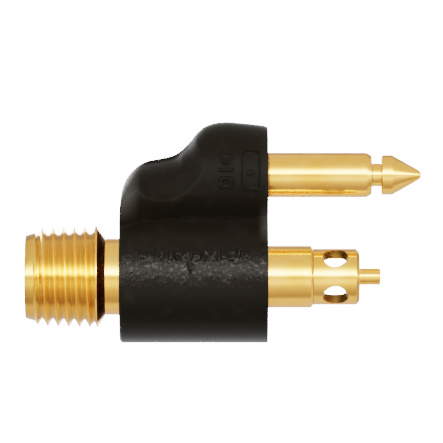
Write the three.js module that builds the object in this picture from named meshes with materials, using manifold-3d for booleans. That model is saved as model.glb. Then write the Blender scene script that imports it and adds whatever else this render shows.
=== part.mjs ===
// Male half of a marine fuel line coupling, in millimetres.
// +X runs from the tank thread to the prong tips, +Z from the fuel tube's axis up to the locating
// pin's axis. The origin is on the thread's axis, at its tank end.

import * as THREE from "three";
import { mergeVertices } from "three/addons/utils/BufferGeometryUtils.js";
import Module from "manifold-3d";

const wasm = await Module();
wasm.setup();

// ---- driving dimensions -------------------------------------------------------------------------

const SEGMENTS = 40; // facets round every turned brass piece
const CLEARANCE = 0.03; // between the moulding and the brass it is cast round
const FACE_GAP = 0.02; // between two faces that rest on each other
const OVERLAP = 1; // how far a cutter, or a part joined to another, reaches past the shared face

const THREAD = {
  pitch: 25.4 / 18, // 1/4-18 NPT
  taper: 1 / 32, // growth of the radius per unit length
  crest: 6.5, // radii at the tank end
  root: 5.525,
  crestFlat: 0.12,
  rootFlat: 0.16,
  phase: 0.348, // where the crest line starts, in turns
  end: 9.6, // where the full crest stops
  runOut: 10.65, // where the chamfer meets the neck
  leadIn: 1.15, // length of the plain collar at the tank end
  leadInStart: 5.55, // radii of the collar
  leadInEnd: 5.9,
  firstCrest: 1.75, // where the first crest reaches its full height
};

const BODY = {
  left: 12.55,
  right: 32.3,
  barrelRadius: 8.84,
  lobeHalfWidth: 6.7,
  lobeRadius: 7.07,
  lobeDrop: 3.4, // the lobe is widest at least this far under the top line
  straightFrom: 0.92, // share of a radius beyond which the flanks run on straight into the waist
  waistBlend: 0.9, // how far the waist's fillet reaches
  leastHalfWidth: 0.3,
  leftCornerRadius: 0.5,
  leanStart: 6.7, // above this height the left face leans towards the prongs
  leanRise: 5.6,
  lean: 0.45,
  leanEnd: 20, // the lean has faded out here
  middle: 4, // height from which every point of an end face's edge can be seen
};

const GRIP_MESH = {
  pointsPerSide: 26,
  fineFrom: 13.7, // close stations along the sculpted end ...
  fineStep: 0.78,
  coarseFrom: 25.2, // ... and wider ones along the plain end
  coarseStep: 2.2,
};

// Top line of the grip, seen from the side: [x, z]
const TOP_LINE = [
  [12.55, 12.3],
  [13.1, 13.2],
  [13.7, 13.95],
  [14.7, 14.8],
  [16.0, 15.4],
  [18.2, 15.8],
  [20.0, 16.3],
  [21.6, 17.65],
  [23.0, 19.3],
  [24.3, 20.2],
  [26.4, 20.63],
  [29.0, 20.46],
  [31.4, 20.2],
  [32.3, 19.95],
];

const SCOOP = {
  x: 18.3, // centre of the thumb scoop, seen from the side
  z: 15.3,
  radius: 5.2,
  depth: 2.4,
  fadeLeft: 14.2, // the scoop grows from nothing here ...
  fadeWidth: 2.4, // ... over this length
  topFade: 4, // half width under which the scoop fades out towards the top line
};

const PIN = {
  axisHeight: 13.56,
  radius: 3.0,
  rootStart: 21.5,
  rootRadius: 2.4,
  flangeRadius: 3.6,
  flangeLength: 1.5,
  rootLength: 3.0,
  shoulder: 46.1,
  shoulderRound: 0.5,
  grooveRadius: 1.53,
  headStart: 47.4,
  headRadius: 2.68,
  headChamfer: 0.18,
  coneStart: 48.95,
  coneEnd: 52.45,
  coneEndRadius: 0.62,
  tip: 52.7,
};

const STEM = {
  neckRadius: 5.125,
  grooveStart: 14.5,
  grooveRadius: 4.4,
  anchorStart: 15.7, // hexagonal anchor that keeps the stem from turning in the moulding
  anchorEnd: 19.7,
  anchorRadius: 6.6, // over its corners
  tubeRadius: 4.165,
  tubeEnd: 38.3,
  tubeChamfer: 0.3,
  tankBore: 3.0,
  valveBore: 3.2,
  boreShoulder: 20.4,
};

const NOSE = {
  seat: 34.24,
  spigotRadius: 3.15,
  radius: 3.765,
  end: 44.5,
  chamfer: 0.45,
  seatBore: 1.95,
  seatLength: 1.2,
  bore: 2.4,
  boreEnd: 43.3,
  guideBore: 1.17,
  portX: 41.27,
  portRadius: 1.6,
  portAngles: [Math.PI / 4, (3 * Math.PI) / 4],
};

const POPPET = {
  shaftRadius: 1.1,
  stubStart: 31.0,
  headStart: 32.2,
  headRadius: 2.75,
  headLength: 1.0,
  hubRadius: 1.7,
  hubLength: 1.0,
  tip: 47.3,
  tipChamfer: 0.15,
};

const RING = { section: 0.5, middle: 2.22 }; // radii of the O-ring

const RETAINER = { start: 20.42, length: 0.8, outer: 3.15, inner: 1.7 };

const SPRING = { wire: 0.25, middle: 2.25, coils: 7.5, endCoils: 1.1, sides: 6, stepsPerCoil: 12 };

// ---- from three.js geometry to solids and back --------------------------------------------------

// Turns a closed geometry into a solid, after merging what its faces share.
function solid(geometry) {
  const bare = geometry.index ? geometry.toNonIndexed() : geometry.clone();
  bare.deleteAttribute("normal");
  bare.deleteAttribute("uv");
  const merged = mergeVertices(bare, 1e-4);
  const index = merged.index.array;
  const triangles = [];
  for (let i = 0; i < index.length; i += 3) {
    const [a, b, c] = [index[i], index[i + 1], index[i + 2]];
    if (a !== b && b !== c && c !== a) triangles.push(a, b, c);
  }
  return new wasm.Manifold(
    new wasm.Mesh({
      numProp: 3,
      vertProperties: new Float32Array(merged.attributes.position.array),
      triVerts: new Uint32Array(triangles),
    }),
  );
}

function meshOf(name, shape, material) {
  const { vertProperties, triVerts } = shape.getMesh();
  const geometry = new THREE.BufferGeometry();
  geometry.setAttribute("position", new THREE.BufferAttribute(vertProperties, 3));
  geometry.setIndex(new THREE.BufferAttribute(triVerts, 1));
  geometry.computeVertexNormals();
  const mesh = new THREE.Mesh(geometry, material);
  mesh.name = name;
  return mesh;
}

// A solid of revolution about X. The profile is a list of [x, radius] from left to right.
function turned(profile, segments = SEGMENTS) {
  const first = profile[0][0];
  const last = profile[profile.length - 1][0];
  const points = [[first, 0], ...profile, [last, 0]].map(([x, r]) => new THREE.Vector2(r, x));
  const geometry = new THREE.LatheGeometry(points, segments);
  geometry.rotateZ(-Math.PI / 2);
  return solid(geometry);
}

function smoothStep(t) {
  const s = THREE.MathUtils.clamp(t, 0, 1);
  return s * s * (3 - 2 * s);
}

// ---- tank thread --------------------------------------------------------------------------------

// A right-hand helical thread, longer than it ends up, as rows of points that follow the helix.
function helicalThread() {
  const { pitch, taper, crest, root, crestFlat, rootFlat, phase, runOut } = THREAD;
  const flank = (pitch - crestFlat - rootFlat) / 2;
  const rowsOfOneTurn = [
    [-crestFlat / 2, crest],
    [crestFlat / 2, crest],
    [crestFlat / 2 + flank, root],
    [crestFlat / 2 + flank + rootFlat, root],
  ];
  const rows = [];
  for (let turn = -2; turn * pitch < runOut + pitch; turn++) {
    for (const [offset, radius] of rowsOfOneTurn) rows.push([(turn + phase) * pitch + offset, radius]);
  }
  const positions = [];
  for (const [start, radius] of rows) {
    for (let j = 0; j < SEGMENTS; j++) {
      const angle = (j / SEGMENTS) * 2 * Math.PI;
      const x = start + (pitch * j) / SEGMENTS;
      const r = radius + x * taper;
      positions.push(x, r * Math.cos(angle), r * Math.sin(angle));
    }
  }
  const perTurn = rowsOfOneTurn.length;
  const at = (row, j) => (j < SEGMENTS ? row * SEGMENTS + j : (row + perTurn) * SEGMENTS);
  const index = [];
  for (let row = 0; row + 1 < rows.length; row++) {
    for (let j = 0; j < SEGMENTS; j++) {
      if (j === SEGMENTS - 1 && row + 1 + perTurn >= rows.length) continue;
      const [a, b, c, d] = [at(row, j), at(row, j + 1), at(row + 1, j + 1), at(row + 1, j)];
      index.push(a, b, c, a, c, d);
    }
  }
  const last = rows.length - 1;
  const round = [...Array(SEGMENTS).keys()];
  const steps = [...Array(perTurn).keys()];
  const lowEdge = [...round.map((j) => at(0, j)), ...steps.map((k) => at(perTurn - k, 0))];
  const highEdge = [
    ...round.map((j) => at(last, j)),
    ...steps.map((k) => at(last - 1 - k, SEGMENTS - 1)),
  ];
  closeEnd(index, positions, lowEdge, -1);
  closeEnd(index, positions, highEdge, 1);
  return solid(indexed(positions, index));
}

function indexed(positions, index) {
  const geometry = new THREE.BufferGeometry();
  geometry.setAttribute("position", new THREE.Float32BufferAttribute(positions, 3));
  geometry.setIndex(index);
  return geometry;
}

// Closes an end with a fan of triangles round a point inside its edge. The edge turns from Y to Z,
// and `facing` is 1 for an end that faces +X and -1 for one that faces -X.
function closeEnd(index, positions, edge, facing, height = 0) {
  let x = 0;
  for (const vertex of edge) x += positions[vertex * 3] / edge.length;
  const centre = positions.length / 3;
  positions.push(x, 0, height);
  for (let i = 0; i < edge.length; i++) {
    const [a, b] = [edge[i], edge[(i + 1) % edge.length]];
    if (facing > 0) index.push(centre, a, b);
    else index.push(centre, b, a);
  }
}

// ---- brass stem ---------------------------------------------------------------------------------

function hexagonalAnchor(clearance) {
  const length = STEM.anchorEnd - STEM.anchorStart + 2 * clearance;
  const geometry = new THREE.CylinderGeometry(
    STEM.anchorRadius + clearance,
    STEM.anchorRadius + clearance,
    length,
    6,
  );
  geometry.rotateZ(-Math.PI / 2);
  geometry.translate((STEM.anchorStart + STEM.anchorEnd) / 2, 0, 0);
  return solid(geometry);
}

// The stem's outside from the neck to the end of the tube, grown by the given clearance.
function stemOutside(clearance) {
  const s = STEM;
  return turned([
    [THREAD.end - OVERLAP, s.neckRadius + clearance],
    [s.grooveStart + clearance, s.neckRadius + clearance],
    [s.grooveStart + clearance, s.grooveRadius + clearance],
    [s.anchorStart - clearance, s.grooveRadius + clearance],
    [s.anchorStart - clearance, s.neckRadius + clearance],
    [s.anchorEnd + clearance, s.neckRadius + clearance],
    [s.anchorEnd + clearance, s.tubeRadius + clearance],
    [s.tubeEnd - s.tubeChamfer, s.tubeRadius + clearance],
    [s.tubeEnd, s.tubeRadius - s.tubeChamfer + clearance],
  ]).add(hexagonalAnchor(clearance));
}

function threadedStem() {
  const t = THREAD;
  const s = STEM;
  const envelope = turned([
    [0, t.leadInStart],
    [t.leadIn, t.leadInEnd],
    [t.firstCrest, t.crest + t.firstCrest * t.taper],
    [t.end, t.crest + t.end * t.taper],
    [t.runOut, s.neckRadius],
  ]);
  const collar = turned([
    [0, t.leadInStart],
    [t.leadIn, t.leadInEnd],
  ]);
  const bore = turned([
    [-OVERLAP, s.tankBore],
    [s.boreShoulder, s.tankBore],
    [s.boreShoulder, s.valveBore],
    [s.tubeEnd + OVERLAP, s.valveBore],
  ]);
  return helicalThread().intersect(envelope).add(collar).add(stemOutside(0)).subtract(bore);
}

// ---- valve nose ---------------------------------------------------------------------------------

function portDrill(angle) {
  const geometry = new THREE.CylinderGeometry(NOSE.portRadius, NOSE.portRadius, 4 * NOSE.radius, 20);
  geometry.rotateX(Math.PI / 2 + angle);
  geometry.translate(NOSE.portX, 0, 0);
  return solid(geometry);
}

function valveNose() {
  const n = NOSE;
  let shape = turned([
    [n.seat, n.spigotRadius],
    [STEM.tubeEnd + FACE_GAP, n.spigotRadius],
    [STEM.tubeEnd + FACE_GAP, n.radius],
    [n.end - n.chamfer, n.radius],
    [n.end, n.radius - n.chamfer],
  ]);
  const inside = turned([
    [n.seat - OVERLAP, n.seatBore],
    [n.seat + n.seatLength, n.seatBore],
    [n.seat + n.seatLength, n.bore],
    [n.boreEnd, n.bore],
    [n.boreEnd, n.guideBore],
    [n.end + OVERLAP, n.guideBore],
  ]);
  shape = shape.subtract(inside);
  for (const angle of n.portAngles) shape = shape.subtract(portDrill(angle));
  return shape;
}

// ---- valve inside the tube ----------------------------------------------------------------------

function poppetPin() {
  const p = POPPET;
  const headEnd = p.headStart + p.headLength;
  const hubEnd = headEnd + p.hubLength;
  return turned(
    [
      [p.stubStart, p.shaftRadius],
      [p.headStart, p.shaftRadius],
      [p.headStart, p.headRadius],
      [headEnd, p.headRadius],
      [headEnd, p.hubRadius],
      [hubEnd, p.hubRadius],
      [hubEnd, p.shaftRadius],
      [p.tip - p.tipChamfer, p.shaftRadius],
      [p.tip, p.shaftRadius - p.tipChamfer],
    ],
    24,
  );
}

function poppetRing() {
  const geometry = new THREE.TorusGeometry(RING.middle, RING.section - FACE_GAP, 10, 32);
  geometry.rotateY(Math.PI / 2);
  geometry.translate(NOSE.seat - RING.section, 0, 0);
  return solid(geometry);
}

function springRetainer() {
  const { start, length, outer, inner } = RETAINER;
  return turned([
    [start, outer],
    [start + length, outer],
  ]).subtract(
    turned([
      [start - OVERLAP, inner],
      [start + length + OVERLAP, inner],
    ]),
  );
}

// Centre line of the valve spring: closed end coils, open coils between them.
class SpringLine extends THREE.Curve {
  constructor(from, to) {
    super();
    this.from = from;
    this.to = to;
  }

  getPoint(t, target = new THREE.Vector3()) {
    const { wire, middle, coils, endCoils } = SPRING;
    const turn = t * coils;
    const closedPitch = 2.1 * wire;
    const openPitch = (this.to - this.from - 2 * endCoils * closedPitch) / (coils - 2 * endCoils);
    const open = THREE.MathUtils.clamp(turn - endCoils, 0, coils - 2 * endCoils);
    const x = this.from + (turn - open) * closedPitch + open * openPitch;
    const angle = turn * 2 * Math.PI;
    return target.set(x, middle * Math.cos(angle), middle * Math.sin(angle));
  }
}

function valveSpring() {
  const { wire, coils, sides, stepsPerCoil } = SPRING;
  const from = RETAINER.start + RETAINER.length + wire + FACE_GAP;
  const to = POPPET.headStart - wire - FACE_GAP;
  const section = new THREE.Shape();
  for (let i = 0; i < sides; i++) {
    const angle = (i / sides) * 2 * Math.PI;
    const corner = [wire * Math.cos(angle), wire * Math.sin(angle)];
    if (i === 0) section.moveTo(...corner);
    else section.lineTo(...corner);
  }
  const geometry = new THREE.ExtrudeGeometry(section, {
    steps: Math.round(coils * stepsPerCoil),
    extrudePath: new SpringLine(from, to),
  });
  return solid(geometry);
}

// ---- locating pin -------------------------------------------------------------------------------

// The pin's root, grown by the given clearance: a flange and a groove that the moulding grips.
function pinRoot(clearance) {
  const p = PIN;
  const flangeEnd = p.rootStart + p.flangeLength;
  const rootEnd = flangeEnd + p.rootLength;
  return [
    [p.rootStart - clearance, p.flangeRadius + clearance],
    [flangeEnd + clearance, p.flangeRadius + clearance],
    [flangeEnd + clearance, p.rootRadius + clearance],
    [rootEnd - clearance, p.rootRadius + clearance],
    [rootEnd - clearance, p.radius + clearance],
  ];
}

function locatingPin() {
  const p = PIN;
  const round = p.shoulderRound;
  const shoulder = [0, 30, 60, 90].map((degrees) => {
    const angle = THREE.MathUtils.degToRad(degrees);
    return [p.shoulder - round + round * Math.sin(angle), p.radius - round + round * Math.cos(angle)];
  });
  return turned([
    ...pinRoot(0),
    ...shoulder,
    [p.shoulder, p.grooveRadius],
    [p.headStart, p.grooveRadius],
    [p.headStart, p.headRadius - p.headChamfer],
    [p.headStart + p.headChamfer, p.headRadius],
    [p.coneStart, p.headRadius],
    [p.coneEnd, p.coneEndRadius],
    [p.tip, p.coneEndRadius / 2],
  ]).translate(0, 0, p.axisHeight);
}

// ---- moulded grip -------------------------------------------------------------------------------

const topCurve = new THREE.SplineCurve(TOP_LINE.map(([x, z]) => new THREE.Vector2(x, z)));
const topPoints = topCurve.getPoints(120);

function topHeight(x) {
  for (let i = 1; i < topPoints.length; i++) {
    const [p, q] = [topPoints[i - 1], topPoints[i]];
    if (x <= q.x) return p.y + ((q.y - p.y) * Math.max(0, x - p.x)) / Math.max(1e-9, q.x - p.x);
  }
  return topPoints[topPoints.length - 1].y;
}

// How far the thumb scoop cuts into the side of the grip at (x, z): it slopes inwards from its lower
// edge all the way up to the top line.
function scoopDepth(x, z) {
  const inside = Math.max(0, 1 - Math.hypot(x - SCOOP.x, z - SCOOP.z) / SCOOP.radius);
  return SCOOP.depth * inside * (2 - inside) * smoothStep((x - SCOOP.fadeLeft) / SCOOP.fadeWidth);
}

// Half width of a round flank `away` from its middle line; past `straightFrom` of its radius it
// runs on straight, so that two flanks can meet in a fillet.
function flank(halfWidthAtMiddle, radius, away) {
  const share = away / radius;
  const limit = BODY.straightFrom;
  if (share < limit) return halfWidthAtMiddle * Math.sqrt(1 - Math.min(1, share * share));
  const edge = Math.sqrt(1 - limit * limit);
  return halfWidthAtMiddle * (edge - (limit / edge) * (share - limit));
}

// Half the grip's width at (x, z): a barrel round the fuel tube and a lobe round the locating pin,
// joined by a filleted waist.
function halfWidth(x, z) {
  const { barrelRadius, lobeHalfWidth, lobeRadius, lobeDrop, waistBlend } = BODY;
  const top = topHeight(x);
  const middle = Math.min(PIN.axisHeight, top - lobeDrop);
  const barrel =
    z > 0 ? flank(barrelRadius, barrelRadius, z) : Math.sqrt(Math.max(0, barrelRadius ** 2 - z * z));
  const above = Math.min(1, (z - middle) / (top - middle));
  const lobe =
    z > middle
      ? lobeHalfWidth * Math.sqrt(1 - above * above)
      : flank(lobeHalfWidth, lobeRadius, middle - z);
  const blend = Math.max(0, waistBlend - Math.abs(barrel - lobe)) / waistBlend;
  const width = Math.max(barrel, lobe) + (blend * blend * waistBlend) / 4;
  return width - scoopDepth(x, z) * smoothStep(width / SCOOP.topFade);
}

// One ring of points round the grip at x, drawn in by `inset`.
function gripRing(x, inset) {
  const steps = GRIP_MESH.pointsPerSide;
  const low = -BODY.barrelRadius + inset;
  const high = topHeight(x) - inset;
  const fade = smoothStep((BODY.leanEnd - x) / (BODY.leanEnd - BODY.left));
  const ring = [];
  for (let i = 0; i < 2 * steps; i++) {
    const side = i < steps ? 1 : -1;
    const share = (1 - Math.cos((Math.PI * i) / steps)) / 2;
    const z = low + (high - low) * share;
    const width = i % steps === 0 ? 0 : Math.max(BODY.leastHalfWidth, halfWidth(x, z) - inset);
    const rise = THREE.MathUtils.clamp((z - BODY.leanStart) / BODY.leanRise, 0, 1);
    ring.push([x + BODY.lean * rise * rise * fade, side * width, z]);
  }
  return ring;
}

function gripSolid() {
  const corner = BODY.leftCornerRadius;
  const { fineFrom, fineStep, coarseFrom, coarseStep } = GRIP_MESH;
  const rings = [gripRing(BODY.left, corner), gripRing(BODY.left + corner, 0)];
  for (let x = fineFrom; x < coarseFrom - fineStep / 2; x += fineStep) rings.push(gripRing(x, 0));
  for (let x = coarseFrom; x < BODY.right - coarseStep / 4; x += coarseStep) rings.push(gripRing(x, 0));
  rings.push(gripRing(BODY.right, 0));
  const perRing = rings[0].length;
  const positions = rings.flat(2);
  const index = [];
  for (let i = 0; i + 1 < rings.length; i++) {
    for (let j = 0; j < perRing; j++) {
      const k = (j + 1) % perRing;
      const [a, b] = [i * perRing + j, i * perRing + k];
      const [c, d] = [a + perRing, b + perRing];
      index.push(a, b, d, a, d, c);
    }
  }
  const lastRing = (rings.length - 1) * perRing;
  const around = [...Array(perRing).keys()];
  closeEnd(index, positions, around, -1, BODY.middle);
  closeEnd(index, positions, around.map((j) => lastRing + j), 1, BODY.middle);
  return solid(indexed(positions, index));
}

function gripBody() {
  const pinHole = turned([...pinRoot(CLEARANCE), [BODY.right + OVERLAP, PIN.radius + CLEARANCE]]);
  return gripSolid()
    .subtract(stemOutside(CLEARANCE))
    .subtract(pinHole.translate(0, 0, PIN.axisHeight));
}

// ---- the assembly -------------------------------------------------------------------------------

const material = (color, roughness, metalness) =>
  new THREE.MeshStandardMaterial({ color, roughness, metalness });
const nylon = material(0x1d1a17, 0.45, 0);
const brass = material(0xd9ae5f, 0.25, 1);
const nitrile = material(0x151515, 0.7, 0);
const stainless = material(0xb9bcc0, 0.25, 1);

const connector = new THREE.Group();
connector.add(
  meshOf("grip_body", gripBody(), nylon),
  meshOf("threaded_stem", threadedStem(), brass),
  meshOf("valve_nose", valveNose(), brass),
  meshOf("locating_pin", locatingPin(), brass),
  meshOf("poppet_pin", poppetPin(), brass),
  meshOf("poppet_o_ring", poppetRing(), nitrile),
  meshOf("valve_spring", valveSpring(), stainless),
  meshOf("spring_retainer", springRetainer(), brass),
);

export default connector;
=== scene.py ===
import math

import bmesh
import bpy
import numpy as np
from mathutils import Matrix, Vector


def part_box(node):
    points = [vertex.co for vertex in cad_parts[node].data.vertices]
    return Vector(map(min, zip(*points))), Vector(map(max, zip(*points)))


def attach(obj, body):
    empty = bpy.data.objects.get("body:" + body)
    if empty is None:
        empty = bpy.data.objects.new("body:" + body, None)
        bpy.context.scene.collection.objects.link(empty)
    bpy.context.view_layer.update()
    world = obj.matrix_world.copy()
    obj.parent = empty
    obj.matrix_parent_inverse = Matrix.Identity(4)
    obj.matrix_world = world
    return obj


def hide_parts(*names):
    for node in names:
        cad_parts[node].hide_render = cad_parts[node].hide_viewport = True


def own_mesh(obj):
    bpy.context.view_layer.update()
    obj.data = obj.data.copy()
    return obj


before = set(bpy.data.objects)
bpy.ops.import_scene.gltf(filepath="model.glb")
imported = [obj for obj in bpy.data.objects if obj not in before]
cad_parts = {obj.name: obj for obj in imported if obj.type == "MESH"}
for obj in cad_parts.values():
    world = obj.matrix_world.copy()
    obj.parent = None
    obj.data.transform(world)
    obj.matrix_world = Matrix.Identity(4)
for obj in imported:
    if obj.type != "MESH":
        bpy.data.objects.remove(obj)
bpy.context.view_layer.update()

# Lengths are in millimetres until a mesh is made, in the frame of the CAD model: +X from the tank
# thread to the prong tips, +Z from the fuel tube's axis to the locating pin's axis.
MM = 0.001
TURN = 2 * math.pi
SMOOTH_ANGLE = math.radians(32)


def node_box(node):
    """Lowest and highest corner of a CAD node, in millimetres."""
    low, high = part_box(node)
    return np.array(low) / MM, np.array(high) / MM


GRIP_LOW, GRIP_HIGH = node_box("grip_body")
NOSE_LOW, NOSE_HIGH = node_box("valve_nose")
PIN_LOW, PIN_HIGH = node_box("locating_pin")
POPPET_LOW, POPPET_HIGH = node_box("poppet_pin")
RING_LOW, RING_HIGH = node_box("poppet_o_ring")
SPRING_LOW, SPRING_HIGH = node_box("valve_spring")
RETAINER_LOW, RETAINER_HIGH = node_box("spring_retainer")

PIN_AXIS = (PIN_LOW[2] + PIN_HIGH[2]) / 2
BARREL_RADIUS = -GRIP_LOW[2]
LEFT, RIGHT = GRIP_LOW[0], GRIP_HIGH[0]

PITCH = 25.4 / 18  # of the 1/4-18 NPT tank thread
# The crests' radius at X = 0, their height, and how much the radius grows along X.
THREAD_CREST, THREAD_DEPTH, TAPER = 6.5, 0.975, 1 / 32
THREAD_PHASE = 0.348  # how far the crests are shifted along X, in turns
CREST_FLAT, ROOT_FLAT = 0.12, 0.16
THREAD_END, RUN_OUT = 9.6, 10.65  # the end of the crests, and of the cone from there to the neck
LEAD_IN, FIRST_CREST = 1.15, 1.75  # the end of the plain collar, and where the crests reach their height
LEAD_IN_START, LEAD_IN_END = 5.55, 5.9  # radii of the plain collar
NECK, TUBE = 5.125, 4.165  # radii of the stem
# Inside the grip the stem is plainer than the CAD's, without its hexagonal anchor and groove.
RINGS_START, NECK_END = 15.7, 19.7
DARK_IN_STEM, DARK_IN_NOSE = 3.1, 3.70  # radii inside which the brass is darkened with painted shade
TUBE_END, TUBE_CHAMFER = 38.3, 0.28
TANK_BORE, VALVE_BORE, BORE_SHOULDER = 3.0, 3.2, 20.4
PIN_RADIUS, PIN_FLANGE, PIN_GROOVE = 3.0, 3.6, 2.4
FLANGE_END, GROOVE_END = 23.0, 26.0
SHOULDER, SNAP_GROOVE = 46.2, 1.53  # the end of the pin's shaft, and the radius of the groove
HEAD_START, HEAD_RADIUS, CONE_START = 47.4, 2.68, 48.86
NOSE_RADIUS, SPIGOT_RADIUS, GUIDE_BORE = 3.765, 3.15, 1.17
PORT_X, PORT_RADIUS, PORT_ANGLES = 41.27, 1.6, (45, 135)
POPPET_RADIUS, POPPET_HEAD, POPPET_HUB = 1.1, 2.75, 1.7


# ---- small mathematics -------------------------------------------------------------------------

def smooth(t):
    """0 below 0, 1 above 1, and an S between."""
    s = np.clip(t, 0, 1)
    return s * s * (3 - 2 * s)


def bump(distance, width):
    return np.exp(-((distance / width) ** 2))


def lattice_noise(u, v, seed):
    """Smooth noise from -1 to 1 on a plane, from a seeded lattice of random values."""
    size = 256
    table = np.random.default_rng(seed).uniform(-1, 1, (size, size))
    iu, iv = np.floor(u).astype(int), np.floor(v).astype(int)
    fu, fv = smooth(u - iu), smooth(v - iv)

    def corner(du, dv):
        return table[(iu + du) % size, (iv + dv) % size]

    low = corner(0, 0) * (1 - fu) + corner(1, 0) * fu
    high = corner(0, 1) * (1 - fu) + corner(1, 1) * fu
    return low * (1 - fv) + high * fv


def rounded(corners, steps=5):
    """Points of a closed outline whose corners (x, y, radius) are rounded with arcs."""
    points = []
    count = len(corners)
    for i, (x, y, radius) in enumerate(corners):
        here = np.array((x, y), float)
        before = np.array(corners[i - 1][:2], float) - here
        after = np.array(corners[(i + 1) % count][:2], float) - here
        if radius <= 0:
            points.append(tuple(here))
            continue
        before /= np.linalg.norm(before)
        after /= np.linalg.norm(after)
        half = math.acos(float(np.clip(before @ after, -1, 1))) / 2
        reach = radius / math.tan(half)
        middle = here + (before + after) / np.linalg.norm(before + after) * radius / math.sin(half)
        start, end = here + before * reach - middle, here + after * reach - middle
        sweep = math.pi - 2 * half
        for k in range(steps + 1):
            a, b = math.sin(sweep * (1 - k / steps)), math.sin(sweep * k / steps)
            points.append(tuple(middle + (start * a + end * b) / math.sin(sweep)))
    return points


# ---- pieces ------------------------------------------------------------------------------------

def solid_mesh(name, vertices, faces):
    """A mesh from vertices in millimetres, with all its faces turned outwards."""
    mesh = bpy.data.meshes.new(name)
    mesh.from_pydata([tuple(c * MM for c in v) for v in vertices], [], faces)
    work = bmesh.new()
    work.from_mesh(mesh)
    bmesh.ops.recalc_face_normals(work, faces=work.faces)
    work.to_mesh(mesh)
    work.free()
    return mesh


def make_piece(name, vertices, faces, material, node, body):
    """A mesh piece that stands for a CAD node and rides on its body."""
    piece = bpy.data.objects.new(name, solid_mesh(name, vertices, faces))
    bpy.context.scene.collection.objects.link(piece)
    finish_piece(piece, material, node, body)
    return piece


def cut_away(piece, vertices, faces):
    """Cuts a solid out of a piece."""
    cutter = bpy.data.objects.new("cutter", solid_mesh("cutter", vertices, faces))
    bpy.context.scene.collection.objects.link(cutter)
    modifier = piece.modifiers.new("cut", "BOOLEAN")
    modifier.operation = "DIFFERENCE"
    modifier.solver = "EXACT"
    modifier.object = cutter
    bpy.context.view_layer.update()
    evaluated = piece.evaluated_get(bpy.context.evaluated_depsgraph_get())
    mesh = bpy.data.meshes.new_from_object(evaluated)
    piece.modifiers.clear()
    old = piece.data
    piece.data = mesh
    bpy.data.meshes.remove(old)
    bpy.data.objects.remove(cutter)


def cut_hole(piece, profile, height):
    """Cuts a stepped round hole along X out of a piece."""
    outline = [(profile[0][0], 0.0), *profile, (profile[-1][0], 0.0)]
    cut_away(piece, *turned_mesh(outline, height, 96))


def shade(piece):
    piece.data.shade_smooth()
    piece.data.set_sharp_from_angle(angle=SMOOTH_ANGLE)


def finish_piece(piece, material, node, body):
    shade(piece)
    piece.data.materials.clear()
    piece.data.materials.append(material)
    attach(piece, body)
    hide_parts(node)


def ring_faces(rings, count, closed):
    """Quads between neighbouring rings of `count` vertices each."""
    faces = []
    for i in range(rings if closed else rings - 1):
        for j in range(count):
            k = (j + 1) % count
            a, b = i * count, ((i + 1) % rings) * count
            faces.append((a + j, a + k, b + k, b + j))
    return faces


def turned_mesh(outline, height=0.0, segments=128):
    """Vertices and faces of a body turned about X. A closed outline of (x, radius) gives a ring; one
    that starts and ends on the axis gives a solid."""
    solid_body = outline[0][1] < 1e-9 and outline[-1][1] < 1e-9
    profile = outline[1:-1] if solid_body else outline
    vertices = []
    for x, r in profile:
        for j in range(segments):
            a = TURN * j / segments
            vertices.append((x, r * math.cos(a), height + r * math.sin(a)))
    faces = ring_faces(len(profile), segments, closed=not solid_body)
    if solid_body:
        for x, ring in ((outline[0][0], 0), (outline[-1][0], len(profile) - 1)):
            centre = len(vertices)
            vertices.append((x, 0.0, height))
            for j in range(segments):
                faces.append((centre, ring * segments + j, ring * segments + (j + 1) % segments))
    return vertices, faces


def open_outline(corners, steps=5):
    """A rounded outline from the axis back to the axis."""
    return rounded([(corners[0][0], 0.0, 0), *corners, (corners[-1][0], 0.0, 0)], steps)


# ---- materials ---------------------------------------------------------------------------------

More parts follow.
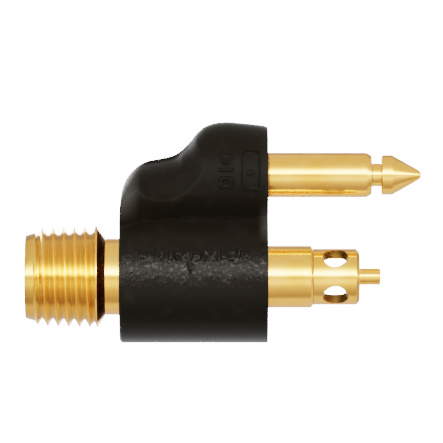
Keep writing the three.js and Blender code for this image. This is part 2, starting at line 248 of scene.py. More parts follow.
class Nodes:
    """A material under construction."""

    def __init__(self, name):
        self.material = bpy.data.materials.new(name)
        self.material.use_nodes = True
        self.tree = self.material.node_tree
        self.shader = self.tree.nodes["Principled BSDF"]
        self.place = self.add("ShaderNodeTexCoord").outputs["Object"]

    def add(self, kind, **settings):
        node = self.tree.nodes.new(kind)
        for key, value in settings.items():
            setattr(node, key, value)
        return node

    def link(self, source, target):
        self.tree.links.new(source, target)

    def math(self, operation, a, b=None, clamp=False):
        node = self.add("ShaderNodeMath", operation=operation, use_clamp=clamp)
        for socket, value in zip(node.inputs, (a, b)):
            if value is None:
                continue
            if isinstance(value, (int, float)):
                socket.default_value = value
            else:
                self.link(value, socket)
        return node.outputs[0]

    def scaled(self, sx, sy, sz):
        node = self.add("ShaderNodeMapping")
        node.inputs["Scale"].default_value = (sx, sy, sz)
        self.link(self.place, node.inputs["Vector"])
        return node.outputs[0]

    def noise(self, vector, scale, detail=3.0, roughness=0.55):
        node = self.add("ShaderNodeTexNoise")
        node.inputs["Scale"].default_value = scale
        node.inputs["Detail"].default_value = detail
        node.inputs["Roughness"].default_value = roughness
        self.link(vector, node.inputs["Vector"])
        return node.outputs["Fac"]

    def ramp(self, value, stops):
        node = self.add("ShaderNodeValToRGB")
        elements = node.color_ramp.elements
        while len(elements) < len(stops):
            elements.new(0.5)
        for element, (at, colour) in zip(elements, stops):
            element.position = at
            element.color = (*colour, 1) if len(colour) == 3 else colour
        self.link(value, node.inputs[0])
        return node.outputs[0]

    def range(self, value, low, high, to_low, to_high):
        node = self.add("ShaderNodeMapRange")
        for socket, number in zip(("From Min", "From Max", "To Min", "To Max"), (low, high, to_low, to_high)):
            node.inputs[socket].default_value = number
        self.link(value, node.inputs["Value"])
        return node.outputs[0]

    def mix(self, share, a, b):
        node = self.add("ShaderNodeMix", data_type="RGBA")
        self.link(share, node.inputs[0])
        for socket, value in ((node.inputs[6], a), (node.inputs[7], b)):
            if isinstance(value, tuple):
                socket.default_value = (*value, 1)
            else:
                self.link(value, socket)
        return node.outputs[2]

    def axes(self):
        node = self.add("ShaderNodeSeparateXYZ")
        self.link(self.place, node.inputs[0])
        return node.outputs

    def set(self, **values):
        for name, value in values.items():
            socket = self.shader.inputs[name.replace("_", " ")]
            if isinstance(value, (int, float, tuple)):
                socket.default_value = value
            else:
                self.link(value, socket)

    def relief(self, height, distance, strength=1.0):
        node = self.add("ShaderNodeBump")
        node.inputs["Distance"].default_value = distance
        node.inputs["Strength"].default_value = strength
        self.link(height, node.inputs["Height"])
        self.link(node.outputs[0], self.shader.inputs["Normal"])


BRASS = (0.90, 0.39, 0.105)
BRASS_RICH = (0.84, 0.33, 0.070)
BRASS_OLIVE = (0.42, 0.21, 0.040)
# painted shade for the inside of bores
BRASS_BORE_SHADE = (0.19, 0.13, 0.048)
BRASS_REFLECTED = (0.86, 0.61, 0.32)  # brass seen in other brass


def brass_material(name, thread=False, bore=0.0):
    """Turned brass, darker in the thread's valleys, and darkened with painted shade and duller inside a
    bore's radius.
    """
    m = Nodes(name)
    x, y, z = m.axes()
    clouds = m.noise(m.place, 260, 4)
    colour = m.ramp(clouds, [(0.36, BRASS_RICH), (0.62, BRASS)])
    rings = m.noise(m.scaled(1, 0.02, 0.02), 9000, 2)
    colour = m.mix(m.range(rings, 0.3, 0.7, 0.0, 0.2), colour, BRASS_RICH)
    roughness = m.range(clouds, 0.3, 0.7, 0.11, 0.17)
    radius = m.math("SQRT", m.math("ADD", m.math("MULTIPLY", y, y), m.math("MULTIPLY", z, z)))
    # Painted shade: inside the bore's radius the brass is given a dark colour.
    if bore:
        end = NOSE_HIGH[0]
        before_end = m.range(x, (end - 0.3) * MM, (end - 0.15) * MM, 1.0, 0.0)
        inside = m.math("MULTIPLY", m.range(radius, (bore - 0.03) * MM, bore * MM, 1.0, 0.0), before_end)
        colour = m.mix(inside, colour, BRASS_BORE_SHADE)
        roughness = m.math("ADD", roughness, m.math("MULTIPLY", inside, 0.25))
    if thread:
        crest = m.math("ADD", m.math("MULTIPLY", x, TAPER), THREAD_CREST * MM)
        depth = m.math("SUBTRACT", crest, radius)
        valley = m.range(depth, 0.25 * MM, 0.95 * MM, 0.0, 0.75)
        zone = m.range(x, 9.7 * MM, 10.6 * MM, 1.0, 0.0)
        colour = m.mix(m.math("MULTIPLY", valley, zone), colour, BRASS_OLIVE)
    reflected = m.add("ShaderNodeLightPath").outputs["Is Glossy Ray"]
    m.set(Base_Color=m.mix(reflected, colour, BRASS_REFLECTED), Metallic=1.0)
    m.set(Roughness=roughness)
    m.relief(rings, 0.002 * MM, 0.4)
    return m.material


NYLON = (0.0034, 0.0025, 0.0014)
# paler nylon, for wear and for painted glints and highlights
NYLON_WEAR_AND_HIGHLIGHT = (0.030, 0.028, 0.025)


def nylon_material():
    """Black glass-filled nylon: worn and wrinkled along the sides of the barrel, with paler flecks there that
    are partly wear and partly painted glints of the light, painted highlights at the heel and at the rim, and
    less gloss in the waist."""
    m = Nodes("black_nylon")
    x, y, z = m.axes()
    grain = m.noise(m.place, 5200, 3)
    scuffs = m.noise(m.scaled(0.75, 1, 1), 2300, 5, 0.65)
    smears = m.noise(m.place, 420, 4)
    # Paler flecks along the front and back of the barrel: partly wear, partly painted glints of the light.
    band_low = m.range(z, -1.6 * MM, 1.2 * MM, 0.0, 1.0)
    band_high = m.range(z, 1.9 * MM, 2.6 * MM, 1.0, 0.15)
    band = m.math("MULTIPLY", band_low, band_high)
    sides = m.range(m.math("ABSOLUTE", y), 7.6 * MM, 8.5 * MM, 0.0, 1.0)
    wear_and_glints = m.math("MULTIPLY", m.math("MULTIPLY", band, sides), m.range(scuffs, 0.54, 0.68, 0.0, 1.0))
    faint = m.range(smears, 0.52, 0.75, 0.0, 0.06)
    # Painted highlights: a paler patch at the heel's upper left corner and at the rim of the waist's right
    # end.
    heel_highlight = m.range(x, 13.2 * MM, 15.4 * MM, 0.75, 0.0)
    heel_highlight = m.math("MULTIPLY", heel_highlight, m.range(z, 7.0 * MM, 11.0 * MM, 0.0, 1.0))
    rim_highlight = m.range(x, 30.9 * MM, 31.9 * MM, 0.0, 0.4)
    rim_highlight = m.math("MULTIPLY", rim_highlight, m.range(z, 4.5 * MM, 6.5 * MM, 0.0, 1.0))
    rim_highlight = m.math("MULTIPLY", rim_highlight, m.range(z, 8.0 * MM, 9.8 * MM, 1.0, 0.1))
    highlights_and_tone = m.math("MAXIMUM", m.math("MAXIMUM", heel_highlight, rim_highlight), faint)
    colour = m.mix(m.math("MAXIMUM", wear_and_glints, highlights_and_tone), NYLON, NYLON_WEAR_AND_HIGHLIGHT)
    m.set(Base_Color=colour, Metallic=0.0)
    waist_low = m.range(z, 5.0 * MM, 7.2 * MM, 1.0, 0.1)
    waist_high = m.range(z, 9.2 * MM, 11.2 * MM, 0.1, 0.65)
    m.set(Specular_IOR_Level=m.math("MULTIPLY", m.math("MAXIMUM", waist_low, waist_high), 0.058))
    m.set(Sheen_Weight=0.07, Sheen_Roughness=0.35)
    dull = m.math("ADD", m.range(z, 4.5 * MM, 7.5 * MM, 0.0, 0.26), m.math("MULTIPLY", wear_and_glints, 0.1))
    m.set(Roughness=m.math("ADD", m.range(grain, 0.3, 0.7, 0.24, 0.31), dull))
    wrinkles = m.math("MULTIPLY", m.math("MULTIPLY", scuffs, band), 2.2)
    m.relief(m.math("ADD", m.math("MULTIPLY", grain, 0.25), wrinkles), 0.045 * MM, 0.6)
    return m.material


def nitrile_material():
    m = Nodes("nitrile")
    grain = m.noise(m.place, 4000, 3)
    m.set(Base_Color=m.mix(grain, (0.012, 0.012, 0.012), (0.03, 0.03, 0.03)))
    m.set(Roughness=m.range(grain, 0.3, 0.7, 0.55, 0.7))
    m.relief(grain, 0.01 * MM)
    return m.material


def stainless_material():
    m = Nodes("stainless")
    drawn = m.noise(m.place, 3000, 3)
    m.set(Base_Color=m.mix(drawn, (0.50, 0.50, 0.51), (0.66, 0.66, 0.67)), Metallic=1.0)
    m.set(Roughness=m.range(drawn, 0.3, 0.7, 0.18, 0.32))
    m.relief(drawn, 0.004 * MM)
    return m.material


brass = brass_material("brass")
thread_brass = brass_material("thread_brass", thread=True, bore=DARK_IN_STEM)
nose_brass = brass_material("nose_brass", bore=DARK_IN_NOSE)
nylon = nylon_material()
nitrile = nitrile_material()
stainless = stainless_material()


# ---- camera, light and floor -------------------------------------------------------------------

CAMERA_DISTANCE = 700.0
CAMERA_X, CAMERA_Z = 26.11, 7.35
LENS = 426.6
FLOOR_Z = -34.0
WHITE_LEVEL = 13.0  # the bare background and the floor are shown as pure white


def make_camera():
    data = bpy.data.cameras.new("camera")
    data.lens = LENS
    data.sensor_width = 36.0
    data.clip_start, data.clip_end = 0.01, 20.0
    camera = bpy.data.objects.new("camera", data)
    camera.location = (CAMERA_X * MM, -CAMERA_DISTANCE * MM, CAMERA_Z * MM)
    camera.rotation_euler = (math.pi / 2, 0, 0)
    bpy.context.scene.collection.objects.link(camera)
    bpy.context.scene.camera = camera


# Brightness of the studio round the object, by angle in the plane across X: 0 is level in front,
# 90 is overhead, 180 is level behind and -90 is straight below.
STUDIO = [
    (-180, 2.2), (-170, 1.9), (-158, 1.0), (-125, 1.20), (-97, 1.45), (-88, 1.15), (-80, 0.62), (-68, 0.70),
    (-50, 1.10), (-40, 1.40), (-32, 1.90), (-25, 2.75), (-13, 2.80), (-6, 1.85), (-1, 1.85), (3, 3.0),
    (7, 13.0), (9, 19.0), (16, 19.0), (20, 12.0), (28, 5.4), (35, 2.6), (44, 1.75), (58, 1.38), (100, 1.24),
    (116, 1.25), (130, 0.65), (155, 0.80), (165, 9.0), (173, 9.0), (180, 2.2),
]


def make_world():
    world = bpy.data.worlds.new("studio")
    bpy.context.scene.world = world
    world.use_nodes = True
    tree = world.node_tree
    new, link = tree.nodes.new, tree.links.new
    background = tree.nodes["Background"]
    direction = new("ShaderNodeSeparateXYZ")
    link(new("ShaderNodeTexCoord").outputs["Generated"], direction.inputs[0])
    forward = new("ShaderNodeMath")
    forward.operation = "MULTIPLY"
    forward.inputs[1].default_value = -1
    link(direction.outputs["Y"], forward.inputs[0])
    angle = new("ShaderNodeMath")
    angle.operation = "ARCTAN2"
    link(direction.outputs["Z"], angle.inputs[0])
    link(forward.outputs[0], angle.inputs[1])
    share = new("ShaderNodeMapRange")
    share.inputs["From Min"].default_value = -math.pi
    share.inputs["From Max"].default_value = math.pi
    link(angle.outputs[0], share.inputs["Value"])
    ramp = new("ShaderNodeValToRGB")
    elements = ramp.color_ramp.elements
    brightest = max(level for _, level in STUDIO)
    while len(elements) < len(STUDIO):
        elements.new(0.5)
    for element, (degrees, level) in zip(elements, STUDIO):
        element.position = (degrees + 180) / 360
        element.color = (level / brightest,) * 3 + (1,)
    link(share.outputs[0], ramp.inputs[0])
    link(ramp.outputs[0], background.inputs["Color"])
    background.inputs["Strength"].default_value = brightest
    white = new("ShaderNodeBackground")
    white.inputs["Color"].default_value = (1, 1, 1, 1)
    white.inputs["Strength"].default_value = WHITE_LEVEL
    choose = new("ShaderNodeMixShader")
    link(new("ShaderNodeLightPath").outputs["Is Camera Ray"], choose.inputs[0])
    link(background.outputs[0], choose.inputs[1])
    link(white.outputs[0], choose.inputs[2])
    link(choose.outputs[0], tree.nodes["World Output"].inputs["Surface"])


def make_floor():
    radius, rings, count = 2400.0, 24, 96
    vertices = [(CAMERA_X, 0.0, FLOOR_Z)]
    for i in range(1, rings + 1):
        for j in range(count):
            a, r = TURN * j / count, radius * (i / rings) ** 2
            vertices.append((CAMERA_X + r * math.cos(a), r * math.sin(a), FLOOR_Z))
    faces = [(0, 1 + j, 1 + (j + 1) % count) for j in range(count)]
    for a, b, c, d in ring_faces(rings, count, closed=False):
        faces.append((a + 1, b + 1, c + 1, d + 1))
    mesh = bpy.data.meshes.new("floor")
    mesh.from_pydata([tuple(c * MM for c in v) for v in vertices], [], faces)
    floor = bpy.data.objects.new("floor", mesh)
    bpy.context.scene.collection.objects.link(floor)
    m = Nodes("pale_floor")
    m.set(Base_Color=(0.86, 0.86, 0.86, 1), Roughness=0.9, Specular_IOR_Level=0.1)
    m.set(Emission_Color=(1, 1, 1, 1), Emission_Strength=WHITE_LEVEL)
    mesh.materials.append(m.material)
    floor.visible_glossy = False
    floor.visible_diffuse = False


def make_light(name, place, target, size, power):
    data = bpy.data.lights.new(name, "AREA")
    data.shape = "RECTANGLE"
    data.size, data.size_y = size[0] * MM, size[1] * MM
    data.energy = power
    light = bpy.data.objects.new(name, data)
    light.location = Vector(place) * MM
    aim = (Vector(target) - Vector(place)).to_track_quat("-Z", "Y")
    light.rotation_euler = aim.to_euler()
    light.visible_camera = False
    light.visible_glossy = False
    bpy.context.scene.collection.objects.link(light)
    return light


make_camera()
make_world()
make_floor()
make_light("overhead", (26, 40, 420), (26, 0, 6), (420, 300), 0.9)
bpy.context.scene.view_settings.view_transform = "Filmic"
bpy.context.scene.view_settings.look = "Medium High Contrast"


# ---- moulded grip ------------------------------------------------------------------------------

LOBE_HALF_WIDTH = 6.7
LOBE_RADIUS = GRIP_HIGH[2] - PIN_AXIS
LOBE_DROP = 3.4
STRAIGHT_FROM = 0.92  # share of a radius beyond which the flanks run on straight into the waist
WAIST_BLEND = 0.9
LEFT_CORNER = 0.5
RIGHT_CORNER = 0.12
LEAN, LEAN_START, LEAN_RISE, LEAN_END = 0.45, 6.7, 5.6, 20  # of the left face towards the prongs
STEM_GAP, PIN_GAP = 0.035, 0.03
# The grip's hole fits the neck up to here and the tube beyond, so the neck runs on into the grip, unseen.
HOLE_STEP = 14.5

# Top line of the grip, seen from the side
TOP_LINE = [
    (12.55, 12.3), (13.1, 13.2), (13.7, 13.95), (14.7, 14.8), (16.0, 15.4), (18.2, 15.8), (20.0, 16.3),
    (21.6, 17.65), (23.0, 19.3), (24.3, 20.2), (26.4, 20.62), (29.0, 20.46), (31.4, 20.2), (32.3, 19.95),
]


def spline(points, steps=12):
    """Points along a Catmull-Rom curve through the given ones."""
    p = np.array([points[0], *points, points[-1]], float)
    out = []
    for i in range(1, len(p) - 2):
        for t in np.linspace(0, 1, steps, endpoint=False):
            a = 2 * p[i]
            b = (p[i + 1] - p[i - 1]) * t
            c = (2 * p[i - 1] - 5 * p[i] + 4 * p[i + 1] - p[i + 2]) * t * t
            d = (3 * p[i] - p[i - 1] - 3 * p[i + 1] + p[i + 2]) * t**3
            out.append((a + b + c + d) / 2)
    return np.array([*out, p[-1]])


TOP_CURVE = spline(TOP_LINE)


def top_height(x):
    return np.interp(x, TOP_CURVE[:, 0], TOP_CURVE[:, 1])


def flank(half_width_at_middle, radius, away):
    """Half width of a round flank `away` from its middle line, running on straight near its end."""
    share = away / radius
    edge = math.sqrt(1 - STRAIGHT_FROM**2)
    arc = np.sqrt(np.maximum(0, 1 - np.minimum(1, share * share)))
    line = edge - STRAIGHT_FROM / edge * (share - STRAIGHT_FROM)
    return half_width_at_middle * np.where(share < STRAIGHT_FROM, arc, line)


def half_width(x, z):
    """Half the grip's width: a barrel round the fuel tube and a lobe round the locating pin, joined by
    a filleted waist."""
    top = top_height(x)
    middle = min(PIN_AXIS, top - LOBE_DROP)
    below = np.sqrt(np.maximum(0, BARREL_RADIUS**2 - z * z))
    barrel = np.where(z > 0, flank(BARREL_RADIUS, BARREL_RADIUS, z), below)
    across = np.clip((z - middle) / (top - middle), 0, 1)
    above = LOBE_HALF_WIDTH * np.sqrt(1 - across * across)
    lobe = np.where(z > middle, above, flank(LOBE_HALF_WIDTH, LOBE_RADIUS, middle - z))
    blend = np.maximum(0, WAIST_BLEND - np.abs(barrel - lobe)) / WAIST_BLEND
    return np.maximum(barrel, lobe) + blend * blend * WAIST_BLEND / 4


SCOOP_X, SCOOP_Z, SCOOP_RADIUS, SCOOP_DEPTH = 18.3, 15.3, 5.2, 2.4


def scoop_relief(x, z):
    """The thumb scoop: it starts with a soft crease along its lower edge and slopes inwards all the way
    up to the top line."""
    inside = (SCOOP_RADIUS - np.hypot(x - SCOOP_X, z - SCOOP_Z)) / SCOOP_RADIUS
    inside = (inside + np.sqrt(inside * inside + 0.05**2)) / 2
    cut = SCOOP_DEPTH * inside * (2 - inside) * smooth((x - 14.2) / 2.4)
    lower = smooth((SCOOP_Z + 1 - z) / 2.5) * smooth((x - 14.4) / 2.6)
    return 0.08 * bump(inside - 0.01, 0.1) * lower - cut


def plate(x, z, x0, x1, z0, z1, soft=0.12):
    """1 inside a rectangle, 0 outside, with soft sides."""
    along = smooth((x - x0) / soft + 0.5) * smooth((x1 - x) / soft + 0.5)
    return along * smooth((z - z0) / soft + 0.5) * smooth((z1 - z) / soft + 0.5)


def mould_marks(x, z):
    """Generic raised marks: a ring, a bar and a square beside the lobe's recessed panel, a worn row of
    bars along the barrel and a small pointer below it."""
    ring = bump(np.hypot(x - 26.7, z - 15.75) - 0.72, 0.2)
    bar = plate(x, z, 25.75, 27.65, 13.95, 14.35)
    square = plate(x, z, 25.85, 27.55, 11.75, 13.3) - plate(x, z, 26.3, 27.1, 12.2, 12.85)
    panel = plate(x, z, 28.85, 31.15, 11.6, 16.6, 0.2)
    frame_line = plate(x, z, 28.6, 31.4, 11.35, 16.85, 0.2) - panel
    slash = plate(x, z, 29.5, 30.5, 13.55, 14.1)
    relief = 0.26 * np.maximum(np.maximum(ring, bar), square) + 0.09 * frame_line - 0.22 * panel
    relief = relief + 0.12 * slash
    wear = 0.75 + 0.5 * lattice_noise(x * 1.7, z * 1.7, 11)
    return relief + 0.28 * worn_bars(x, z) * np.clip(wear, 0.25, 1.0)


def worn_bars(x, z):
    """A row of raised bars of uneven width, rubbed down in places."""
    rng = np.random.default_rng(5)
    total = np.zeros_like(x)
    at = 15.3
    while at < 29.6:
        width = rng.uniform(0.35, 1.0)
        foot, head = 2.05 + rng.uniform(0, 0.5), 3.95 - rng.uniform(0, 0.5)
        total = np.maximum(total, plate(x, z, at, at + width, foot, head, 0.25))
        at += width + rng.uniform(0.3, 0.55)
    pointer = plate(x, z, 21.9, 22.15, 1.6, 2.4, 0.15)
    head_width = np.maximum(0, (z - 0.65) * 0.5)
    head = smooth((head_width - np.abs(x - 22.02)) / 0.12 + 0.5) * smooth((1.7 - z) / 0.15 + 0.5)
    return np.maximum(total, np.maximum(pointer, head * (z > 0.6)))


def worn_skin(x, z):
    """Fine unevenness of the moulding, strongest on the rubbed front of the barrel."""
    band = smooth((z + 2.4) / 1.6) * smooth((4.4 - z) / 1.6)
    fine = lattice_noise(x * 4.1, z * 4.1, 21) + 0.7 * lattice_noise(x * 7.7, z * 7.7, 22)
    broad = lattice_noise(x * 0.45, z * 0.45, 23)
    return 0.022 * band * fine + 0.03 * broad + 0.003 * lattice_noise(x * 6, z * 6, 24)


def grip_relief(x, y, z):
    """How far the skin stands out of the plain form at a point of it."""
    front = y < 0
    relief = scoop_relief(x, z) + worn_skin(x + 40 * front, z)
    relief = relief + np.where(front, mould_marks(x, z), 0)
    waist_round = smooth((z - 3.9) / 1.6) * smooth((9.8 - z) / 1.6) * smooth((x - 30.7) / 1.7)
    return relief - 0.55 * waist_round**1.5


def grip_ring(x, inset, count=210):
    """Points round the grip at x, drawn in by `inset`, from the bottom up one side and down the other."""
    share = (1 - np.cos(np.linspace(0, math.pi, 700))) / 2
    z = -BARREL_RADIUS + (top_height(x) + BARREL_RADIUS) * share
    y = half_width(x, z)
    y[0] = y[-1] = 0
    length = np.concatenate(([0], np.cumsum(np.hypot(np.diff(y), np.diff(z)))))
    stops = np.linspace(0, length[-1], count + 1)
    y, z = np.interp(stops, length, y), np.interp(stops, length, z)
    dy, dz = np.gradient(y), np.gradient(z)
    size = np.hypot(dy, dz)
    ny, nz = dz / size, -dy / size
    ny[0] = ny[-1] = 0
    nz[0], nz[-1] = -1, 1
    y, z = np.maximum(0, y - inset * ny), z - inset * nz
    keep = smooth(y / 4)
    lean = LEAN * np.clip((z - LEAN_START) / LEAN_RISE, 0, 1) ** 2
    lean = lean * smooth((LEAN_END - x) / (LEAN_END - LEFT))
    x_out = x + lean
    sides = []
    for sign in (1, -1):
        moved = y + grip_relief(x_out, sign * y, z) * keep
        sides.append(np.stack([x_out, sign * np.maximum(moved, 0), z], 1))
    return np.concatenate([sides[0], sides[1][-2:0:-1]])


def grip_stations():
    """The x of every ring and how far it is drawn in: an arc at each end, even steps between."""
    stations = []
    for k in range(7):
        a = math.pi / 2 * k / 6
        stations.append((LEFT + LEFT_CORNER * (1 - math.cos(a)), LEFT_CORNER * (1 - math.sin(a))))
    inner = np.linspace(LEFT + LEFT_CORNER, RIGHT - RIGHT_CORNER, 200)
    stations += [(x, 0.0) for x in inner[1:-1]]
    for k in range(4):
        a = math.pi / 2 * k / 3
        stations.append((RIGHT - RIGHT_CORNER * (1 - math.sin(a)), RIGHT_CORNER * (1 - math.cos(a))))
    return stations


def make_grip():
    stations = grip_stations()
    rings = [grip_ring(x, inset) for x, inset in stations]
    count = len(rings[0])
    vertices = [tuple(map(float, v)) for ring in rings for v in ring]
    faces = ring_faces(len(rings), count, closed=False)
    faces.append(tuple(range(count)))
    faces.append(tuple((len(rings) - 1) * count + j for j in range(count)))
    grip = make_piece("grip_skin", vertices, faces, nylon, "grip_body", "fitting")
    neck, tube = NECK + STEM_GAP, TUBE + STEM_GAP
    cut_hole(grip, [(LEFT - 2, neck), (HOLE_STEP, neck), (HOLE_STEP, tube), (RIGHT + 2, tube)], 0.0)
    flange, shaft = PIN_FLANGE + PIN_GAP, PIN_RADIUS + PIN_GAP
    steps = [(PIN_LOW[0], flange), (FLANGE_END, flange), (FLANGE_END, shaft), (RIGHT + 2, shaft)]
    cut_hole(grip, steps, PIN_AXIS)
    shade(grip)


# ---- threaded stem -----------------------------------------------------------------------------

EDGES = (LEAD_IN, FIRST_CREST, THREAD_END, RUN_OUT)
EDGE_REACH = 0.11  # points this near an edge are moved onto it
END_FACE = 3.4  # how much of the helical rows' travel covers the end face
ROW_OFFSETS = (0.0, 0.045, 0.08, 0.2, 0.4, 0.56, 0.625, 0.665)


def thread_drop(from_crest):
    """How far the surface lies under the crest, at a distance from the crest line along X."""
    flank = (PITCH - CREST_FLAT - ROOT_FLAT) / 2
    total = 0.0
    for k in (-2, -1, 0, 1, 2):
        w = abs(from_crest + 0.02 * k)
        total += min(1.0, max(0.0, (w - CREST_FLAT / 2) / flank)) * THREAD_DEPTH
    return total / 5


def thread_radius(x, drop):
    """Radius of the thread or neck at x, where the thread's own surface is `drop` under its crest."""
    collar = LEAD_IN_START + (LEAD_IN_END - LEAD_IN_START) * x / LEAD_IN
    if x <= LEAD_IN:
        return collar
    crest = THREAD_CREST + x * TAPER
    drop *= 1 - float(smooth((x - THREAD_END + 0.55) / 0.5))
    first = LEAD_IN_END + (crest - LEAD_IN_END) * (x - LEAD_IN) / (FIRST_CREST - LEAD_IN)
    run_out = NECK + (RUN_OUT - x) * (THREAD_CREST + THREAD_END * TAPER - NECK) / (RUN_OUT - THREAD_END)
    thread = max(NECK, min(crest - drop, first, run_out))
    joined = float(smooth((x - LEAD_IN) / 0.3))
    return LEAD_IN_END * (1 - joined) + thread * joined if x < FIRST_CREST else thread


def stem_row_point(u, drop, angle):
    """A point of the stem's skin from u, the travel along X: up the bore for the lowest u, across the
    end face, then along the thread and neck."""
    for edge in EDGES:
        if abs(u - edge) < EDGE_REACH:
            u = edge
    if u >= 0:
        x, r = u, thread_radius(u, drop)
    elif u > -END_FACE:
        share = -u / END_FACE
        edge = thread_radius(0.0, drop)
        x, r = 0.0, edge + (TANK_BORE + 0.2 - edge) * share
    else:
        beyond = -u - END_FACE
        x, r = beyond, TANK_BORE + max(0.0, 0.2 - beyond)
    return (x, r * math.cos(angle), r * math.sin(angle))


def make_stem(segments=168):
    offsets = [*ROW_OFFSETS, *(PITCH - w for w in reversed(ROW_OFFSETS[1:]))]
    offsets.insert(len(ROW_OFFSETS), PITCH / 2)
    per_turn = len(offsets)
    rows = []
    turn = -6
    while turn * PITCH < 14.0 - PITCH:
        for w in offsets:
            rows.append(((turn + THREAD_PHASE) * PITCH + w, thread_drop(w if w < PITCH / 2 else PITCH - w)))
        turn += 1
    vertices = []
    for start, drop in rows:
        for j in range(segments):
            angle = TURN * j / segments
            vertices.append(stem_row_point(start + PITCH * j / segments, drop, angle))
    last = len(rows) - 1
    faces = []
    for i in range(last):
        for j in range(segments - 1):
            a = i * segments + j
            faces.append((a, a + 1, a + segments + 1, a + segments))
        if i + per_turn < last:
            a, b = i * segments + segments - 1, (i + per_turn) * segments
            faces.append((a, b, b + segments, a + segments))

    outside = rounded([
        (RINGS_START, NECK, 0.1), (NECK_END, NECK, 0.1), (NECK_END, TUBE, 0.1),
        (TUBE_END - TUBE_CHAMFER, TUBE, 0.06), (TUBE_END, TUBE - TUBE_CHAMFER, 0.05),
        (TUBE_END, VALVE_BORE, 0.05), (BORE_SHOULDER, VALVE_BORE, 0.05), (BORE_SHOULDER, TANK_BORE, 0.05),
        (12.0, TANK_BORE, 0),
    ])
    first_ring = len(vertices)
    for x, r in outside:
        for j in range(segments):
            a = TURN * j / segments
            vertices.append((x, r * math.cos(a), r * math.sin(a)))
    for a, b, c, d in ring_faces(len(outside), segments, closed=False):
        faces.append((a + first_ring, b + first_ring, c + first_ring, d + first_ring))
    last_ring = first_ring + (len(outside) - 1) * segments
    join_helix(faces, segments, last * segments, first_ring,
               [(last - k) * segments + segments - 1 for k in range(per_turn + 1)], True)
    join_helix(faces, segments, 0, last_ring, [k * segments for k in range(per_turn, -1, -1)], False)
    return make_piece("stem_metal", vertices, faces, thread_brass, "threaded_stem", "fitting")


def join_helix(faces, segments, helix, ring, step, at_end):
    """Joins a helical row to a plain ring: quads all the way round, and one face that takes in the step
    between the row's two ends."""
    for j in range(segments - 1):
        faces.append((helix + j, helix + j + 1, ring + j + 1, ring + j))
    if at_end:
        faces.append((*step, helix, ring, ring + segments - 1))
    else:
        faces.append((helix + segments - 1, *step, ring, ring + segments - 1))


# ---- locating pin, nose, poppet and the valve's inside -----------------------------------------

def make_locating_pin():
    start, tip = PIN_LOW[0], PIN_HIGH[0]
    outline = open_outline([
        (start, PIN_FLANGE, 0.1), (FLANGE_END, PIN_FLANGE, 0.1), (FLANGE_END, PIN_GROOVE, 0.15),
        (GROOVE_END, PIN_GROOVE, 0.15), (GROOVE_END, PIN_RADIUS, 0.08),
        (SHOULDER - 0.75, PIN_RADIUS, 0.8), (SHOULDER - 0.08, 2.62, 0.14), (SHOULDER, SNAP_GROOVE, 0.12),
        (HEAD_START, SNAP_GROOVE, 0.12), (HEAD_START, HEAD_RADIUS, 0.26), (CONE_START, HEAD_RADIUS, 0.7),
        (tip - 0.24, 0.62, 0.3), (tip, 0.30, 0.15),
    ], 6)
    vertices, faces = turned_mesh(outline, PIN_AXIS, 160)
    make_piece("pin_metal", vertices, faces, brass, "locating_pin", "fitting")


def make_nose():
    seat, end = NOSE_LOW[0], NOSE_HIGH[0]
    face = TUBE_END + 0.02
    outline = rounded([
        (seat, SPIGOT_RADIUS, 0.05), (face, SPIGOT_RADIUS, 0.02), (face, NOSE_RADIUS, 0.07),
        (end - 0.45, NOSE_RADIUS, 0.15), (end, NOSE_RADIUS - 0.42, 0.12), (end, GUIDE_BORE, 0.06),
        (43.3, GUIDE_BORE, 0.05), (43.3, 2.4, 0.1), (seat + 1.2, 2.4, 0.05), (seat + 1.2, 1.95, 0.05),
        (seat, 1.95, 0.08),
    ], 4)
    vertices, faces = turned_mesh(outline, 0.0, 160)
    nose = make_piece("nose_metal", vertices, faces, nose_brass, "valve_nose", "fitting")
    for degrees in PORT_ANGLES:
        cut_port(nose, math.radians(degrees))
    shade(nose)


def cut_port(nose, angle):
    """Drills right through the nose, with a small countersink where the drill goes in and comes out."""
    reach, count = 6.0, 72
    sink_in, sink_out, sink_radius = 3.35, 3.9, PORT_RADIUS + 0.12
    steps = [
        (-reach, sink_radius), (-sink_out, sink_radius), (-sink_in, PORT_RADIUS), (sink_in, PORT_RADIUS),
        (sink_out, sink_radius), (reach, sink_radius),
    ]
    across = Vector((0, math.cos(angle), math.sin(angle)))
    beside = Vector((0, -math.sin(angle), math.cos(angle)))
    vertices = []
    for along, r in steps:
        for j in range(count):
            a = TURN * j / count
            point = across * along + beside * (r * math.sin(a)) + Vector((PORT_X + r * math.cos(a), 0, 0))
            vertices.append(tuple(point))
    faces = ring_faces(len(steps), count, closed=False)
    faces += [tuple(range(count)), tuple((len(steps) - 1) * count + j for j in range(count))]
    cut_away(nose, vertices, faces)


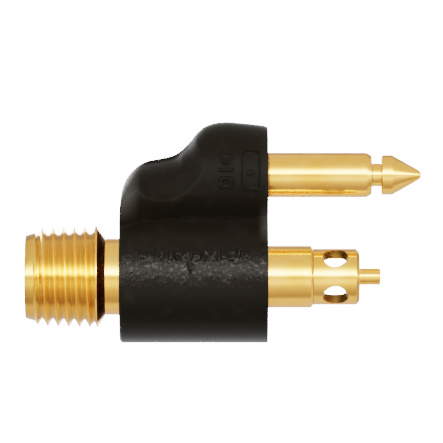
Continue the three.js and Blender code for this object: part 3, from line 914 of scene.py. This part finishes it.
def make_poppet():
    start, tip = POPPET_LOW[0], POPPET_HIGH[0]
    outline = open_outline([
        (start, POPPET_RADIUS, 0.15), (32.2, POPPET_RADIUS, 0.08), (32.2, POPPET_HEAD, 0.1),
        (33.2, POPPET_HEAD, 0.1), (33.2, POPPET_HUB, 0.05), (34.2, POPPET_HUB, 0.1),
        (34.2, POPPET_RADIUS, 0.05), (tip, POPPET_RADIUS, 0.17),
    ])
    vertices, faces = turned_mesh(outline, 0.0, 96)
    make_piece("poppet_metal", vertices, faces, brass, "poppet_pin", "poppet")


def make_ring():
    middle_x = (RING_LOW[0] + RING_HIGH[0]) / 2
    section = (RING_HIGH[0] - RING_LOW[0]) / 2
    middle_r = RING_HIGH[1] - section
    outline = []
    for k in range(24):
        a = TURN * k / 24
        outline.append((middle_x + section * math.cos(a), middle_r + section * math.sin(a)))
    vertices, faces = turned_mesh(outline, 0.0, 96)
    make_piece("o_ring_rubber", vertices, faces, nitrile, "poppet_o_ring", "poppet")


def make_retainer():
    start, end = RETAINER_LOW[0], RETAINER_HIGH[0]
    outer, inner = 3.15, 1.7
    outline = rounded([(start, outer, 0.08), (end, outer, 0.08), (end, inner, 0.08), (start, inner, 0.08)])
    vertices, faces = turned_mesh(outline, 0.0, 96)
    make_piece("retainer_metal", vertices, faces, brass, "spring_retainer", "fitting")


def make_spring():
    """A round-wire compression spring with closed end coils."""
    wire, coils, closed_coils, sides = 0.25, 7.5, 1.1, 14
    low, high = SPRING_LOW[0] + wire, SPRING_HIGH[0] - wire
    middle = 2.25
    closed_pitch = 2.1 * wire
    open_coils = coils - 2 * closed_coils
    open_pitch = (high - low - 2 * closed_coils * closed_pitch) / open_coils
    steps = int(coils * 40)
    vertices = []
    for i in range(steps + 1):
        turn = coils * i / steps
        opened = min(max(turn - closed_coils, 0), open_coils)
        x = low + (turn - opened) * closed_pitch + opened * open_pitch
        a = TURN * turn
        for j in range(sides):
            b = TURN * j / sides
            r = middle + wire * math.cos(b)
            vertices.append((x + wire * math.sin(b), r * math.cos(a), r * math.sin(a)))
    faces = ring_faces(steps + 1, sides, closed=False)
    faces += [tuple(range(sides)), tuple(steps * sides + j for j in range(sides))]
    spring = make_piece("spring_wire", vertices, faces, stainless, "valve_spring", "fitting")
    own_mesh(spring)


make_grip()
make_stem()
make_locating_pin()
make_nose()
make_poppet()
make_ring()
make_retainer()
make_spring()
